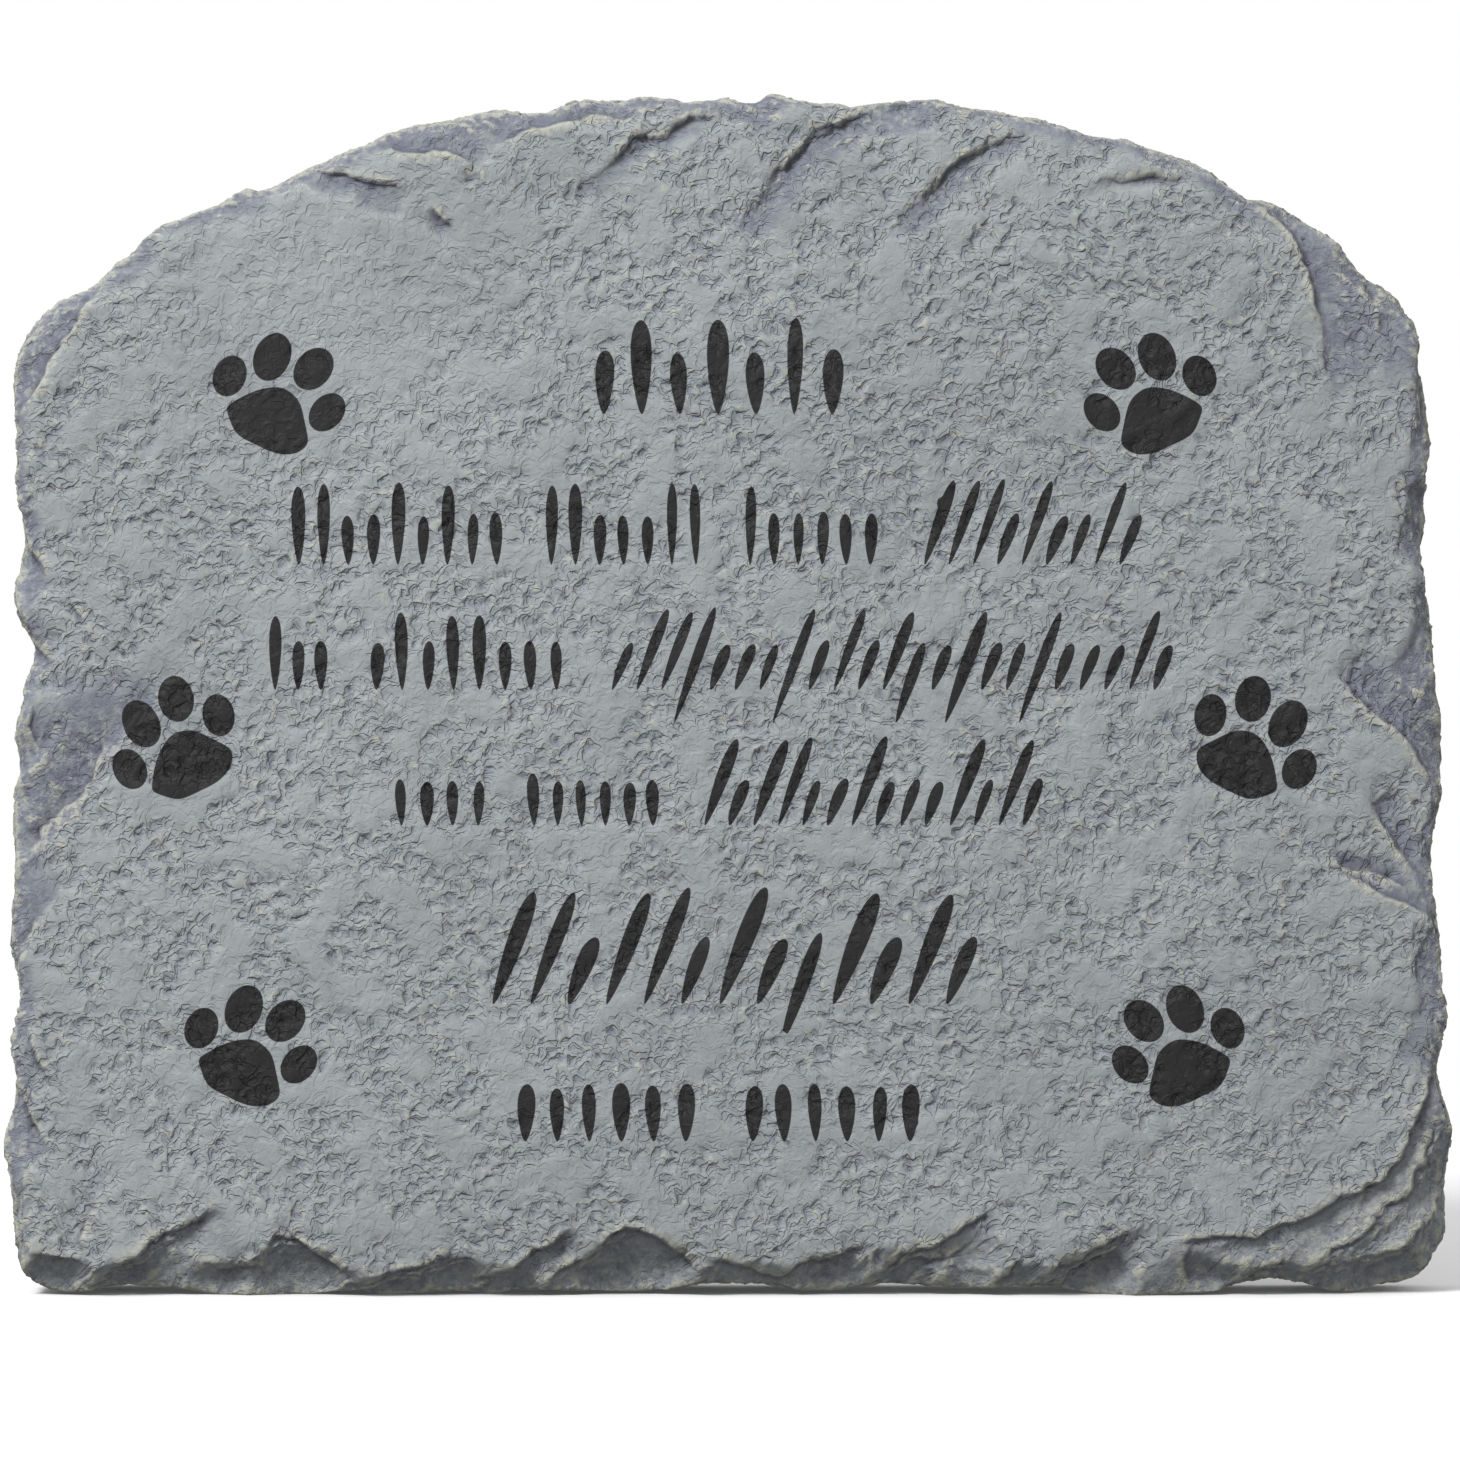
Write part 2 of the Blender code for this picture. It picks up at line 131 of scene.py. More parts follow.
LEFT_SPLITS = [
    (1.2, 8, [(-149, 182), (-148, 186), (-146, 190), (-143, 195), (-140, 200), (-137, 203), (-132, 213)]),
    (1.0, 2, [(-145.5, 164.5), (-150, 164.5)]),
    (1.2, 5, [(-142.5, 151), (-145, 155), (-148, 158)]),
    (1.2, 5, [(-140, 132), (-146, 137), (-150, 141)]),
    (0.7, 3, [(-135, 141), (-137, 146)]),
    (1.4, 10, [(-150, 91), (-148, 93), (-143, 98), (-138, 103), (-133, 111), (-128, 118)]),
    (1.2, 6, [(-146, 126), (-147, 120), (-144, 113)]),
    (0.9, 6, [(-150, 72), (-145, 79), (-142, 81)]),
    (1.4, 9, [(-142, 31), (-144, 33), (-147, 38), (-150, 45)]),
    (0.8, 5, [(-142, 45), (-145, 50), (-147, 57)]),
]
SPLITS = FOOT_SPLITS + CORNER_SPLITS + RIGHT_SPLITS + TOP_SPLITS + LEFT_SPLITS

# Rows of printed strokes, in millimetres: (baseline, height of a low stroke, spacing, lean in degrees,
# reach of a tall stroke and of a deep one as shares of a low one, [(left, right) of each group]).
STROKE_ROWS = [
    (185.0, 13.2, 7.9, 0, 1.5, 0.0, [(-30.2, 25.6)]),
    (153.5, 10.5, 5.4, 0, 1.6, 0.0, [(-92.6, -46.0), (-39.7, -4.4), (1.9, 32.1)]),
    (153.5, 10.5, 5.0, 20, 1.65, 0.0, [(38.4, 84.4)]),
    (127.3, 9.8, 5.4, 0, 1.6, 0.0, [(-97.4, -83.0), (-76.5, -33.4)]),
    (127.3, 9.8, 5.1, 20, 1.7, 0.7, [(-27.0, 91.6)]),
    (98.9, 9.5, 5.4, 0, 1.1, 0.0, [(-71.2, -49.8), (-43.3, -13.4)]),
    (98.9, 9.5, 5.1, 20, 1.9, 0.0, [(-7.6, 64.3)]),
    (61.5, 14.3, 7.9, 20, 1.65, 0.6, [(-53.3, 49.6)]),
    (32.8, 11.5, 6.6, 0, 1.0, 0.0, [(-46.0, -5.7), (1.7, 41.2)]),
]

# Printed paws: (x, z, mirrored, turn in degrees), of the middle of each main pad in millimetres
PAWS = [
    (-96.3, 183.5, False, 0), (-102.2, 47.0, False, 0), (-112.9, 111.3, False, 51.6),
    (90.2, 183.5, True, 0), (96.1, 47.0, True, 0), (106.8, 111.3, True, -51.6),
]
# Toes: (across, up, long half, short half, lean in degrees)
PAW_TOES = [
    (-8.25, 9.5, 4.4, 3.45, 23), (0.65, 13.5, 5.2, 3.8, 23),
    (9.3, 11.0, 4.85, 3.75, 40), (12.15, 1.9, 4.45, 3.35, 41),
]
# Edges of the main pad: (direction in degrees that the edge faces, distance)
PAW_PAD = [
    (120, 7.3), (95, 7.1), (52, 7.6), (12, 7.3), (-48, 9.2), (-86, 7.3), (-116, 5.6), (-160, 7.6),
]
NO_PRINT = -100.0

CLEFT_SHARE = 0.5  # of the solid's clefts, how much the finished stone keeps above its foot
LAYERED_CORNER = (85, 105)  # millimetres to the right: where the foot's layered corner begins, and is full
BROKEN_EDGE = (2.3, 5.0)  # millimetres behind the face: where the broken edge begins, and is full
LAYER_SPACING = 2.6  # millimetres from one split layer of the side to the next
LAYER_STEP = 1.0  # millimetres that the deepest layer stands back

# Layers of the hammered pits: (spacing in metres, share of the places that hold a pit, share of the depth
# left where the face is calm)
PIT_LAYERS = [(0.0029, 0.76, 0.30), (0.0019, 0.82, 0.25), (0.00125, 0.82, 0.20)]
MESH_DEPTHS = (0.38, 0.34, 0.16)  # millimetres: how deep each layer is carved in the mesh
FINISH_DEPTHS = (0.27, 0.31, 0.24)  # millimetres: how deep each layer is in the finish
PIT_WOBBLE = 0.0032  # metres: how far the outlines of the pits stray, and over what length
CALM_PLACE = (-0.095, 0.214, 0.0)  # metres across and up: the middle of the calmest part of the face
CALM_REACH = (0.018, 0.065)  # metres from there: where the calm begins to end, and has ended
PITS_LEFT_AT_EDGE = 0.45  # share of the pits' depth that is left on the broken edge

KEY_DIRECTION = (-0.44, -0.66, 0.66)  # from the stone to the key light
KEY_DISTANCE = 2.0  # metres
LIGHT_FROM_BELOW = 0.30  # share of the even light that comes from below
CAMERA_X = 0.0002  # metres: the middle of the view, on the face
CAMERA_Z = 0.1189


class StoneSettings(bpy.types.PropertyGroup):
    """Sizes and colours of the casting."""

    net: bpy.props.FloatProperty(
        name="Net",
        description="Spacing of the points that the surface is carved from",
        default=0.00054,
        min=0.0003,
        subtype="DISTANCE",
        unit="LENGTH",
    )
    triangles: bpy.props.IntProperty(
        name="Triangles",
        description="How many triangles the finished casting keeps",
        default=194000,
        min=20000,
        max=199000,
    )
    hammering: bpy.props.FloatProperty(
        name="Hammering",
        description="Depth of the scallops on the face",
        default=1.0,
        min=0.0,
        subtype="FACTOR",
    )
    face_colour: bpy.props.FloatVectorProperty(
        name="Face",
        description="Colour of the face",
        default=(0.245, 0.264, 0.271),
        size=3,
        min=0.0,
        max=1.0,
        subtype="COLOR",
    )
    pale_colour: bpy.props.FloatVectorProperty(
        name="Pale patches",
        description="Colour of the paler patches of the face",
        default=(0.300, 0.322, 0.330),
        size=3,
        min=0.0,
        max=1.0,
        subtype="COLOR",
    )
    # Partly the rubbed beige of the ridges and partly a painted highlight on them; the pale specks of the
    # broken edge take this colour too.
    rubbed_and_highlight_colour: bpy.props.FloatVectorProperty(
        name="Worn ridges",
        description="Colour where ridges and arrises are rubbed",
        default=(0.375, 0.378, 0.322),
        size=3,
        min=0.0,
        max=1.0,
        subtype="COLOR",
    )
    # Violet wash that is also painted shade: the hollows, clefts, pits and recessed edge are darkened
    # towards this colour.
    wash_and_shade_colour: bpy.props.FloatVectorProperty(
        name="Hollows",
        description="Colour of the wash that lies in the clefts",
        default=(0.145, 0.153, 0.196),
        size=3,
        min=0.0,
        max=1.0,
        subtype="COLOR",
    )
    # Painted shade: the thin dark lines in the creases of the splits; the dark specks of the broken edge
    # take this colour too.
    dark_speck_and_crease_shade_colour: bpy.props.FloatVectorProperty(
        name="Cracks",
        description="Colour of the thin dark lines along the splits",
        default=(0.045, 0.046, 0.056),
        size=3,
        min=0.0,
        max=1.0,
        subtype="COLOR",
    )
    ink_colour: bpy.props.FloatVectorProperty(
        name="Ink",
        description="Colour of the printed paws and strokes",
        default=(0.013, 0.013, 0.0135),
        size=3,
        min=0.0,
        max=1.0,
        subtype="COLOR",
    )


class StageSettings(bpy.types.PropertyGroup):
    """The floor, the light and the camera."""

    floor_colour: bpy.props.FloatVectorProperty(
        name="Floor",
        description="Colour of the floor and the backdrop",
        default=(0.92, 0.92, 0.92),
        size=3,
        min=0.0,
        max=1.0,
        subtype="COLOR",
    )
    key_power: bpy.props.FloatProperty(
        name="Key light",
        description="Power of the broad light above the left, in watts",
        default=44.0,
        min=0.0,
        subtype="POWER",
        unit="POWER",
    )
    key_size: bpy.props.FloatProperty(
        name="Key size",
        description="Side of the square key light",
        default=0.57,
        min=0.05,
        subtype="DISTANCE",
        unit="LENGTH",
    )
    fill: bpy.props.FloatProperty(
        name="Fill",
        description="Brightness of the even light from all round",
        default=0.78,
        min=0.0,
    )
    lens: bpy.props.FloatProperty(
        name="Lens",
        description="Focal length of the camera, in millimetres",
        default=150.0,
        min=20.0,
    )
    frame_width: bpy.props.FloatProperty(
        name="Frame width",
        description="Width of the view at the face of the stone",
        default=0.3054,
        min=0.1,
        subtype="DISTANCE",
        unit="LENGTH",
    )


def deselect_all():
    for shown in bpy.context.view_layer.objects:
        shown.select_set(False)


def select_only(target):
    deselect_all()
    target.select_set(True)
    bpy.context.view_layer.objects.active = target


def apply_modifier(target, name):
    select_only(target)
    bpy.ops.object.modifier_apply(modifier=name)


def hashed(column, row, seed):
    """A repeatable number from 0 to 1 for each cell of a grid."""
    column_prime, row_prime, seed_prime, mixing_prime = 374761393, 668265263, 2147483647, 1274126177
    mask = 0xFFFFFFFF
    mixed = column.astype(np.int64) * column_prime + row.astype(np.int64) * row_prime
    mixed = (mixed + seed * seed_prime) & mask
    mixed = ((mixed ^ (mixed >> 13)) * mixing_prime) & mask
    return ((mixed ^ (mixed >> 16)) & 0xFFFFFF) / float(0xFFFFFF)


def soft_noise(u, v, size, seed):
    """Gradient noise from about -1 to 1, whose hills are about the size across."""
    gu, gv = u / size, v / size
    column, row = np.floor(gu), np.floor(gv)
    fu, fv = gu - column, gv - row
    su = fu * fu * fu * (fu * (fu * 6 - 15) + 10)
    sv = fv * fv * fv * (fv * (fv * 6 - 15) + 10)
    total = np.zeros_like(gu)
    for du in (0, 1):
        for dv in (0, 1):
            angle = 2 * np.pi * hashed(column + du, row + dv, seed)
            slope = np.cos(angle) * (fu - du) + np.sin(angle) * (fv - dv)
            total += slope * (su if du else 1 - su) * (sv if dv else 1 - sv)
    return total * 1.5


def rise(value, low, high):
    share = np.clip((value - low) / (high - low), 0, 1)
    return share * share * (3 - 2 * share)


def scallops(u, v, spacing, seed, lean, keep):
    """Scallops from 0 to 1 deep: each has a crisp wall round its upper side and a ramp back up below it."""
    column, row = np.floor(u / spacing), np.floor(v / spacing)
    deepest = np.zeros_like(u)
    for du in (-1, 0, 1):
        for dv in (-1, 0, 1):
            c, r = column + du, row + dv
            mid_u = (c + 0.5 + 0.8 * (hashed(c, r, seed) - 0.5)) * spacing
            mid_v = (r + 0.5 + 0.8 * (hashed(c, r, seed + 1) - 0.5)) * spacing
            size = spacing * (0.25 + 0.4 * hashed(c, r, seed + 2))
            turn = lean + 1.8 * (hashed(c, r, seed + 3) - 0.5)
            stretch = 0.8 + hashed(c, r, seed + 4)
            across = (u - mid_u) * np.cos(turn) + (v - mid_v) * np.sin(turn)
            upward = (v - mid_v) * np.cos(turn) - (u - mid_u) * np.sin(turn)
            reach = np.sqrt((across / stretch) ** 2 + upward**2) / size
            wall = 1 - rise(reach, 0.6, 1.0)
            ramp = np.clip(0.55 + 0.5 * upward / size, 0, 1)
            there = rise(hashed(c, r, seed + 5), 1 - keep, 1.1 - keep)
            depth = wall * ramp * there * (0.45 + 0.55 * hashed(c, r, seed + 6))
            deepest = np.maximum(deepest, depth)
    return deepest


def broken(u, v):
    """Depth in millimetres of the coarse broken grain near the edges."""
    wu = u + 1.4 * soft_noise(u, v, 3, 71)
    wv = v + 1.4 * soft_noise(u, v, 3, 72)
    flakes = scallops(wu, wv, 7.5, 81, 0.35 + 0.9 * soft_noise(u, v, 18, 17), 0.75)
    return 0.65 * flakes + 0.28 * soft_noise(u, v, 3.2, 53) + 0.22 * soft_noise(u, v, 1.5, 54)


def layers(height, along, around):
    """Depth in millimetres of the split layers that run round the side of the slab."""
    wave = 1.1 * soft_noise(along, around, 14, 91) + 0.5 * soft_noise(along, around, 5, 92)
    sheet = height / LAYER_SPACING + wave
    tread = sheet - np.floor(sheet)
    step = hashed(np.floor(sheet), np.floor(sheet) * 0, 93)
    return LAYER_STEP * rise(tread, 0.0, 0.75) * (0.4 + 0.6 * step)


def to_line(x, z, points):
    """For each place: distance to the line, signed + on its left hand, and how far along it."""
    nearest = np.full(len(x), np.inf)
    signed = np.zeros(len(x))
    along = np.zeros(len(x))
    run = 0.0
    for (ax, az), (bx, bz) in zip(points, points[1:]):
        dx, dz = bx - ax, bz - az
        length = math.hypot(dx, dz)
        share = np.clip(((x - ax) * dx + (z - az) * dz) / length**2, 0, 1)
        distance = np.hypot(x - ax - share * dx, z - az - share * dz)
        nearer = distance < nearest
        nearest = np.where(nearer, distance, nearest)
        side = np.where(dx * (z - az) - dz * (x - ax) >= 0, 1.0, -1.0)
        signed = np.where(nearer, side * distance, signed)
        along = np.where(nearer, run + share * length, along)
        run += length
    return signed, along / run, run


def shallower(depth, x, z):
    """The depth in millimetres of the clefts and the worn edge, from the deeper ones of the solid."""
    layered_corner = rise(x, *LAYERED_CORNER)
    above_foot = rise(z - (6 - 4 * layered_corner), 0, 10 - 4 * layered_corner)
    share = 1 - (1 - CLEFT_SHARE) * above_foot
    return depth * (share + (1 - share) * rise(depth, 5, 13))


def splits(x, z):
    """Depth in millimetres of the sharp splits, and the shares from 0 to 1 of their crests and of the
    painted shade in their creases.
    """
    wx = x + 0.5 * soft_noise(x, z, 2.6, 201) + 0.9 * soft_noise(x, z, 7, 203)
    wz = z + 0.5 * soft_noise(x, z, 2.6, 202) + 0.9 * soft_noise(x, z, 7, 204)
    depth, crest, crease_shade = np.zeros((3, len(x)))
    for drop, reach, points in SPLITS:
        low_x, high_x = min(px for px, pz in points) - reach, max(px for px, pz in points) + reach
        low_z, high_z = min(pz for px, pz in points) - reach, max(pz for px, pz in points) + reach
        near = np.flatnonzero((wx > low_x) & (wx < high_x) & (wz > low_z) & (wz < high_z))
        signed, along, length = to_line(wx[near], wz[near], points)
        wall = rise(signed, -0.25, 0.45)
        climb = np.clip(1 - signed / reach, 0, 1) ** 1.3
        arris = -0.14 * rise(signed, -1.1, -0.3) * (1 - wall)
        fade = min(8.0 / length, 0.4)
        ends = rise(along, 0, fade) * rise(1 - along, 0, fade)
        depth[near] += drop * (wall * climb + arris) * ends
        # The crest, the band just above each split's wall, later gets a painted highlight.
        crest[near] = np.maximum(crest[near], rise(signed, -2.6, -0.2) * (1 - wall) * ends)
        # Painted shade: a thin dark line in the crease at the foot of each split's wall.
        crease_shade[near] = np.maximum(crease_shade[near], wall * (1 - rise(signed, 0.4, 1.3)) * ends)
    return depth, crest, crease_shade


def neighbour_mean(edges, count, values):
    """The mean of each point's neighbours."""
    total = np.zeros_like(values)
    for axis in range(values.shape[1]):
        total[:, axis] = np.bincount(edges[:, 0], values[edges[:, 1], axis], count)
        total[:, axis] += np.bincount(edges[:, 1], values[edges[:, 0], axis], count)
    shared = np.bincount(edges[:, 0], minlength=count) + np.bincount(edges[:, 1], minlength=count)
    return total / np.maximum(shared, 1)[:, None]


def smoothed(points, edges, passes):
    for _ in range(passes):
        points = 0.35 * points + 0.65 * neighbour_mean(edges, len(points), points)
    return points


def mesh_points(mesh):
    points = np.empty(len(mesh.vertices) * 3)
    mesh.vertices.foreach_get("co", points)
    return points.reshape(-1, 3)


def mesh_edges(mesh):
    edges = np.empty(len(mesh.edges) * 2, dtype=np.int32)
    mesh.edges.foreach_get("vertices", edges)
    return edges.reshape(-1, 2)


def point_normals(mesh):
    normals = np.empty(len(mesh.vertices) * 3)
    mesh.vertices.foreach_get("normal", normals)
    return normals.reshape(-1, 3)


def point_values(mesh, name):
    values = np.empty(len(mesh.vertices))
    mesh.attributes[name].data.foreach_get("value", values)
    return values


def place_points(mesh, points):
    mesh.vertices.foreach_set("co", points.ravel())
    mesh.update()


def copy_of_node(name, new_name):
    """A welded copy of a frame node, as a piece of its own."""
    node = frame["nodes"][name]
    piece = node.copy()
    piece.data = node.data.copy()
    piece.name = new_name
    piece.data.name = new_name
    for key in list(piece.keys()):
        del piece[key]
    piece.parent = None
    bpy.context.scene.collection.objects.link(piece)
    select_only(piece)
    bpy.ops.object.mode_set(mode="EDIT")
    bpy.ops.mesh.select_all(action="SELECT")
    bpy.ops.mesh.remove_doubles(threshold=0.00001)
    bpy.ops.object.mode_set(mode="OBJECT")
    return piece


def carve_fine_relief(piece, hammering):
    """Hammers and splits the face, splits the side into layers, and leaves the back and underside flat."""
    mesh = piece.data
    edges = mesh_edges(mesh)
    points = smoothed(mesh_points(mesh), edges, 2)
    x, y, z = points.T / MM
    depth_in = y - FRONT_Y / MM
    points[:, 1] = FRONT_Y + shallower(depth_in, x, z) * MM
    place_points(mesh, points)
    normals = point_normals(mesh)
    edge = rise(depth_in, *BROKEN_EDGE)
    front = front_share(normals)
    side = rise(1 - np.abs(normals[:, 1]), 0.25, 0.8)
    kept_flat = rise((BACK_Y / MM) - y, 0.3, 2.5)
    kept_flat *= np.where(normals[:, 2] < -0.7, rise(z, 0.2, 2.0), 1.0)
    u, v = x + 0.8 * y, z + 0.8 * y
    pits = hammering * point_values(mesh, "pit") * (1 - (1 - PITS_LEFT_AT_EDGE) * edge)
    swell = 0.22 * soft_noise(u, v, 5.5, 51)
    depth = (pits + swell + edge * broken(u, v)) * np.maximum(front, 0.8 * side)
    depth += side * layers(y, x + z, x - z)
    points -= normals * (depth * kept_flat)[:, None] * MM
    split, crest, crease_shade = splits(x, z)
    points[:, 1] += split * front * kept_flat * MM
    place_points(mesh, points)
    mark_wear_and_painted_light(mesh, edges, edge, depth_in, split, crest, crease_shade)


def front_share(normals):
    """1 where the surface looks forward, 0 where it looks sideways or back."""
    return rise(-normals[:, 1], 0.15, 0.6)


def mark_wear_and_painted_light(mesh, edges, edge, depth_in, split, crest, crease_shade):
    """Stores at each point how far it is rubbed and lit by a painted highlight, how far the violet wash and
    painted shade lie on it, and where the painted shade of a split's crease lies.
    """
    points = mesh_points(mesh)
    normals = point_normals(mesh)
    near = smoothed(np.column_stack((points, edge)), edges, 8)
    wide = smoothed(near, edges, 24)
    stands_near = ((points - near[:, :3]) * normals).sum(axis=1) / MM
    stands_wide = ((points - wide[:, :3]) * normals).sum(axis=1) / MM
    by_edge = np.clip(2.5 * wide[:, 3], 0, 1)
    # Partly rubbed and partly painted highlight: points that stand out from their neighbours are made paler,
    # most near the broken edge.
    rubbed_and_highlight = rise(stands_near, 0.05, 0.20) * (0.42 + 0.58 * by_edge)
    rubbed_and_highlight = rubbed_and_highlight + 0.7 * by_edge * rise(stands_wide, 0.08, 0.45)
    # Painted shade as well as wash: hollows are darkened by how far each point lies below its neighbours.
    wash_and_shade = np.maximum(0.8 * rise(-stands_near, 0.08, 0.40), 0.8 * rise(-stands_wide, 0.15, 0.7))
    layered_corner = rise(points[:, 0] / MM, *LAYERED_CORNER)
    above_foot = 0.25 + 0.75 * rise(points[:, 2] / MM, 14 + 6 * layered_corner, 32 + 28 * layered_corner)
    # Painted shade as well as wash: the recessed broken edge and the insides of the splits are darkened,
    # less near the foot.
    recess_wash_and_shade = np.maximum(0.85 * rise(depth_in, 1.8, 3.0), rise(split, 0.1, 0.7))
    front = front_share(normals)
    recess_wash_and_shade *= front * above_foot
    wash_and_shade = np.maximum(wash_and_shade, recess_wash_and_shade)
    off_back = 1 - rise(normals[:, 1], 0.7, 0.95)
    marks = {
        # Painted highlight along the crest above each split's wall.
        "rubbed_and_highlight": np.clip(np.maximum(rubbed_and_highlight * (1 - 0.5 * recess_wash_and_shade), 0.75 * crest * front), 0, 1) * off_back,
        "wash_and_shade": wash_and_shade * off_back,
        "crease_shade": crease_shade * front,
        "edge": edge,
    }
    for name, share in marks.items():
        attribute = mesh.attributes.new(name, "FLOAT", "POINT")
        attribute.data.foreach_set("value", share)


def write_map(mesh, name, u, v):
    layer = mesh.uv_layers.new(name=name, do_init=False)
    layer.data.foreach_set("uv", np.column_stack((u, v)).ravel())


def map_print(mesh):
    """Stores where each part of the face lies among the printed strokes and paws, as three UV maps."""
    corners = np.empty(len(mesh.loops), dtype=np.int32)
    mesh.loops.foreach_get("vertex_index", corners)
    sides = np.empty(len(mesh.polygons), dtype=np.int32)
    mesh.polygons.foreach_get("loop_total", sides)
    middles = np.empty(len(mesh.polygons) * 3)
    mesh.polygons.foreach_get("center", middles)
    normals = np.empty(len(mesh.polygons) * 3)
    mesh.polygons.foreach_get("normal", normals)
    middle_x, _, middle_z = middles.reshape(-1, 3).T / MM
    front = normals.reshape(-1, 3)[:, 1] < -0.1
    face_of_corner = np.repeat(np.arange(len(sides)), sides)
    x, _, z = mesh_points(mesh)[corners].T / MM

    blank = np.full(len(corners), NO_PRINT)
    slot, height, tall, deep = blank.copy(), blank.copy(), blank.copy(), blank.copy()
    group = 0
    for baseline, low, spacing, lean, tall_share, deep_share, groups in STROKE_ROWS:
        slope = math.tan(math.radians(lean))
        for left, right in groups:
            group += 1
            from_left = middle_x - left - slope * (middle_z - baseline)
            inside = front & (from_left > -1.5) & (from_left < right - left + 1.5)
            inside &= (middle_z > baseline - 0.9 * low) & (middle_z < baseline + 2.0 * low)
            here = inside[face_of_corner]
            count = round((right - left) / spacing)
            pitch = (right - left) / count
            across = (x[here] - left - slope * (z[here] - baseline)) / pitch
            slot[here] = np.clip(across, 0, count) + 64 * group
            height[here] = (z[here] - baseline) / low
            tall[here] = tall_share
            deep[here] = deep_share
    write_map(mesh, "strokes", slot, height)
    write_map(mesh, "reach", tall, deep)

    paw_u, paw_v = blank.copy(), blank.copy()
    paw_reach = 22.0
    for paw_x, paw_z, mirrored, turn in PAWS:
        inside = front & (np.hypot(middle_x - paw_x, middle_z - paw_z) < paw_reach)
        here = inside[face_of_corner]
        angle = math.radians(turn)
        across = (x[here] - paw_x) * math.cos(angle) + (z[here] - paw_z) * math.sin(angle)
        paw_u[here] = -across if mirrored else across
        paw_v[here] = (z[here] - paw_z) * math.cos(angle) - (x[here] - paw_x) * math.sin(angle)
    write_map(mesh, "paws", paw_u, paw_v)


class Sum:
    """A number in a node tree that can be written in sums."""

    def __init__(self, tree, socket):
        self.tree = tree
        self.socket = socket

    def maths(self, operation, *values):
        node = self.tree.nodes.new("ShaderNodeMath")
        node.operation = operation
        for place, value in enumerate(values):
            if isinstance(value, Sum):
                self.tree.links.new(value.socket, node.inputs[place])
            else:
                node.inputs[place].default_value = value
        return Sum(self.tree, node.outputs[0])

    def __add__(self, other):
        return self.maths("ADD", self, other)

    __radd__ = __add__

    def __sub__(self, other):
        return self.maths("SUBTRACT", self, other)

    def __rsub__(self, other):
        return self.maths("SUBTRACT", other, self)

    def __mul__(self, other):
        return self.maths("MULTIPLY", self, other)

    __rmul__ = __mul__

    def __truediv__(self, other):
        return self.maths("DIVIDE", self, other)

    def __pow__(self, other):
        return self.maths("POWER", self, other)

    def __abs__(self):
        return self.maths("ABSOLUTE", self)

    def __gt__(self, other):
        return self.maths("GREATER_THAN", self, other)

    def floor(self):
        return self.maths("FLOOR", self)

    def higher(self, other):
        return self.maths("MAXIMUM", self, other)

    def softly_higher(self, other, blend):
        return self.maths("SMOOTH_MAX", self, other, blend)


